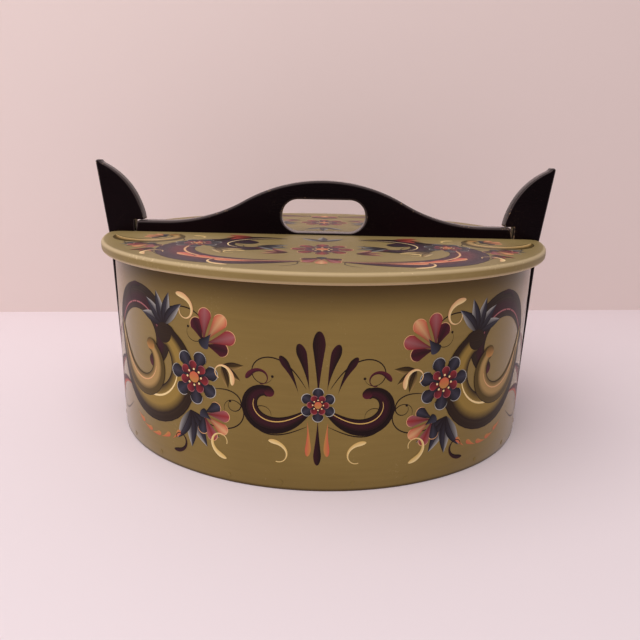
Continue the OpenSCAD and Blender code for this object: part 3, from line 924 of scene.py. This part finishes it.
# %% [markdown]
# The lid's design is drawn once, for the quarter in front and to the right. Its mirror
# image and a flower between the two make the front half, and half a turn, which is
# minus one times each place, makes the back half.


# %% Lid design
def lid_quarter():
    """One quarter of the lid, right of its middle and in front of the handle."""
    made = []
    for row in (((60, -128), 14, 74, 62, INK, 0.5, 1.2), ((118, -24), 205, 62, 220),
                ((24, -132), 160, 30, -230),
                ((70, -86), 150, 58, -320, INK, 0.5, 2.2), ((30, -52), 250, 46, 320, INK, 0.4, 2.2),
                ((138, -50), 262, 44, -320, INK, 0.4, 2.2)):
        made += tendril(*row)
    made += scroll((12, -116), -12, 176, 236, 12.5, PLUM, WINE, NIGHT, PEACH, 1.7)
    made += scroll((26, -30), 10, 104, -240, 9.0, INK, PLUM, WINE, CREAM)
    made += scroll((153, -26), 248, 84, -214, 7.0, MOSS, TAN, ORANGE, CREAM)
    for row in (((44, -64), 196, 22), ((72, -76), 214, 20, (MOSS, TAN, CREAM)),
                ((22, -88), 20, 18, (WINE, ROSE, PEACH)), ((112, -80), 284, 15, (MAROON, WINE, CORAL)),
                ((122, -62), 338, 16), ((52, -24), 350, 20, (CRIMSON, CORAL))):
        made += leaves(*row)
    made += rosette((86, -56), 16, 7, 10)
    made += bud((116, -62), 296, 18)
    made += bud((116, -30), 20, 15, (CORAL, PEACH), (NIGHT, SLATE))
    for row in (((54, -131), 14, 32, 150, 2.2, [CREAM, PEACH]),
                ((110, -104), 60, 30, 190, 2.2, [CREAM, PEACH]),
                ((50, -84), 20, 26, -200, 2.0, [CREAM, GOLD]), ((96, -22), 190, 26, 200, 2.0, [GOLD, CREAM])):
        made += drop(*row)
    for k in range(3):
        made += comma((64 + 13 * k, -115 + 10 * k), 200 + 16 * k, 27, -20, 3.4, [CORAL, CORAL, PEACH])
    return made


quarter_strokes = lid_quarter()
middle_flower = rosette((0, -72), 21, 8, 0, (MAROON, CRIMSON, MAROON), PEACH, SLATE)
middle_flower += bud((0, -104), 270, 20) + leaves((0, -40), 90, 22, fan=40)
front_half = quarter_strokes + flipped(quarter_strokes) + middle_flower
lid_strokes = front_half + [(-p, c, u) for p, c, u in front_half]
print("the lid carries", len(lid_strokes), "strokes")


# %% [markdown]
# The paint itself takes its colour from the strokes. Bristles leave streaks along
# each stroke, so the noise is read in the stroke's own coordinates, long one way and
# fine the other. It mirrors less than the ground. Strokes that cross lie over one
# another in the order in which they were painted.

# %% Decoration paint
stroke_paint, tree, shader = new_material(
    "decoration paint", Roughness=0.45, Specular_IOR_Level=0.1, Coat_Roughness=0.4)
glancing_gloss(tree, shader, 0.35)
own = put(tree, "TexCoord").outputs["UV"]
bristles = use_group(tree, brush, Place=own, Stroke=(1.0, 0.14, 1.0), Scale=60.0)
pigment = put(tree, "Attribute", attribute_name="paint").outputs["Color"]
streaked = tinted(tree, pigment, bristles["Tone"], 0.07, colour(126, 102, 62))
tree.links.new(streaked, shader.inputs["Base Color"])
relief(tree, shader, bristles["Height"], 0.15, 0.0002)
LIFT, COAT, CROWN = 0.04, 0.012, 0.004


def coats(strokes):
    """How many strokes lie under each: one more than the highest earlier stroke that it
    meets. Two strokes meet where their middle lines are nearer than the sum of their
    half widths."""
    middles = [place[:, place.shape[1] // 2] for place, _, _ in strokes]
    halves = [np.linalg.norm(place[:, 0] - place[:, -1], axis=1) / 2 for place, _, _ in strokes]
    low = np.array([place.reshape(-1, 2).min(0) for place, _, _ in strokes])
    high = np.array([place.reshape(-1, 2).max(0) for place, _, _ in strokes])
    under = np.zeros(len(strokes), int)
    for k in range(1, len(strokes)):
        for m in np.flatnonzero((low[:k] < high[k]).all(1) & (high[:k] > low[k]).all(1)):
            gap = np.linalg.norm(middles[k][:, None] - middles[m][None], axis=2)
            if (gap < halves[k][:, None] + halves[m][None] + 0.5).any():
                under[k] = max(under[k], under[m] + 1)
    return under


def lay_paint(name, strokes, onto, body):
    """All strokes as one piece. A stroke of coat k lies LIFT + COAT * k off the ground,
    and its middle is raised by CROWN * (1 - v^2), which is less than a coat, so that it
    never breaks through the one over it."""
    points, shades, pairs, faces, count = [], [], [], [], 0
    under = coats(strokes)
    print(name, "is at most", under.max() + 1, "coats deep")
    for (place, shade, uv), k in zip(strokes, under):
        lift = LIFT + COAT * k + CROWN * (1 - uv[..., 1] ** 2)
        points.append(onto(place[..., 0], place[..., 1], lift).reshape(-1, 3))
        shades.append(shade.reshape(-1, 4))
        pairs.append(uv.reshape(-1, 2))
        faces.append(grid(*place.shape[:2]) + count)
        count += len(points[-1])
    piece(name, np.concatenate(points), np.concatenate(faces), body, [stroke_paint],
          paint=np.concatenate(shades), uv=np.concatenate(pairs))


def on_wall(s, z, lift):
    """Distance round the wall and height, to a point just off its outer face."""
    return np.concatenate([oval(s, lift), z[..., None]], -1)


def on_lid(x, y, lift):
    """A place on the lid's top."""
    return np.stack([x, y, TOP_Z + lift], -1)


lay_paint("wall_scrollwork", wall_strokes, on_wall, "box")
lay_paint("lid_scrollwork", lid_strokes, on_lid, "lid")

# %% [markdown]
# The stage is a pale table with a pale wall a hand's breadth behind the box. Their
# backs let the camera through and the table is open under the box, so that it can be
# seen from behind and from below as well. The light is a wide soft panel overhead to
# the left, a weak one in front, and an even pale sky.


# %% Stage and light
def sheet_of(name, points, faces, shade):
    """A flat stage sheet in metres that only shows from its front."""
    mesh = bpy.data.meshes.new(name)
    mesh.from_pydata(points, [], faces)
    made = placed(name, mesh)
    material, tree, shader = new_material(name + " finish", Roughness=0.6, Base_Color=shade)
    clear = put(tree, "BsdfTransparent")
    behind = put(tree, "NewGeometry").outputs["Backfacing"]
    mixed = put(tree, "MixShader", {0: behind, 1: shader.outputs[0], 2: clear.outputs[0]})
    tree.links.new(mixed.outputs[0], tree.nodes["Material Output"].inputs[0])
    mesh.materials.append(material)


TABLE_IN, TABLE_OUT, TABLE_POINTS = -1.0, 4000.0, 240
round_s = np.linspace(0, perimeter, TABLE_POINTS, endpoint=False)
plan = np.concatenate([oval(round_s, TABLE_IN), oval(round_s, TABLE_OUT)]) * MM
sheet_of("table", np.column_stack([plan, np.zeros(2 * TABLE_POINTS)]).tolist(),
         grid(2, TABLE_POINTS, close_columns=True).tolist(), colour(232, 218, 224))
end_x, left_y, right_y, top = 0.62, 0.224, 0.347, 0.5
sheet_of("backdrop", [(-end_x, left_y, 0), (end_x, right_y, 0), (end_x, right_y, top), (-end_x, left_y, top)],
         [(0, 1, 2, 3)], colour(230, 211, 208))
for name, at, aim, size, power in (("overhead light", (-0.5, -0.55, 1.5), (0, 0, 0.1), 2.0, 24.5),
                                   ("front light", (-0.8, -1.6, 0.9), (0, 0, 0.08), 1.2, 3.0)):
    lamp = bpy.data.lights.new(name, "AREA")
    lamp.shape, lamp.size, lamp.energy, lamp.color = "SQUARE", size, power, (1.0, 0.97, 0.95)
    made = placed(name, lamp)
    made.location, made.rotation_mode = at, "QUATERNION"
    made.rotation_quaternion = (Vector(aim) - Vector(at)).to_track_quat("-Z", "Y")
world = bpy.data.worlds.new("pale room")
bpy.context.scene.world = world
world.use_nodes = True
sky = world.node_tree.nodes["Background"]
sky.inputs["Color"].default_value = colour(255, 251, 249)
sky.inputs["Strength"].default_value = 0.45
bpy.context.scene.view_settings.view_transform = "Standard"
print("table, backdrop, two panels and a pale sky")
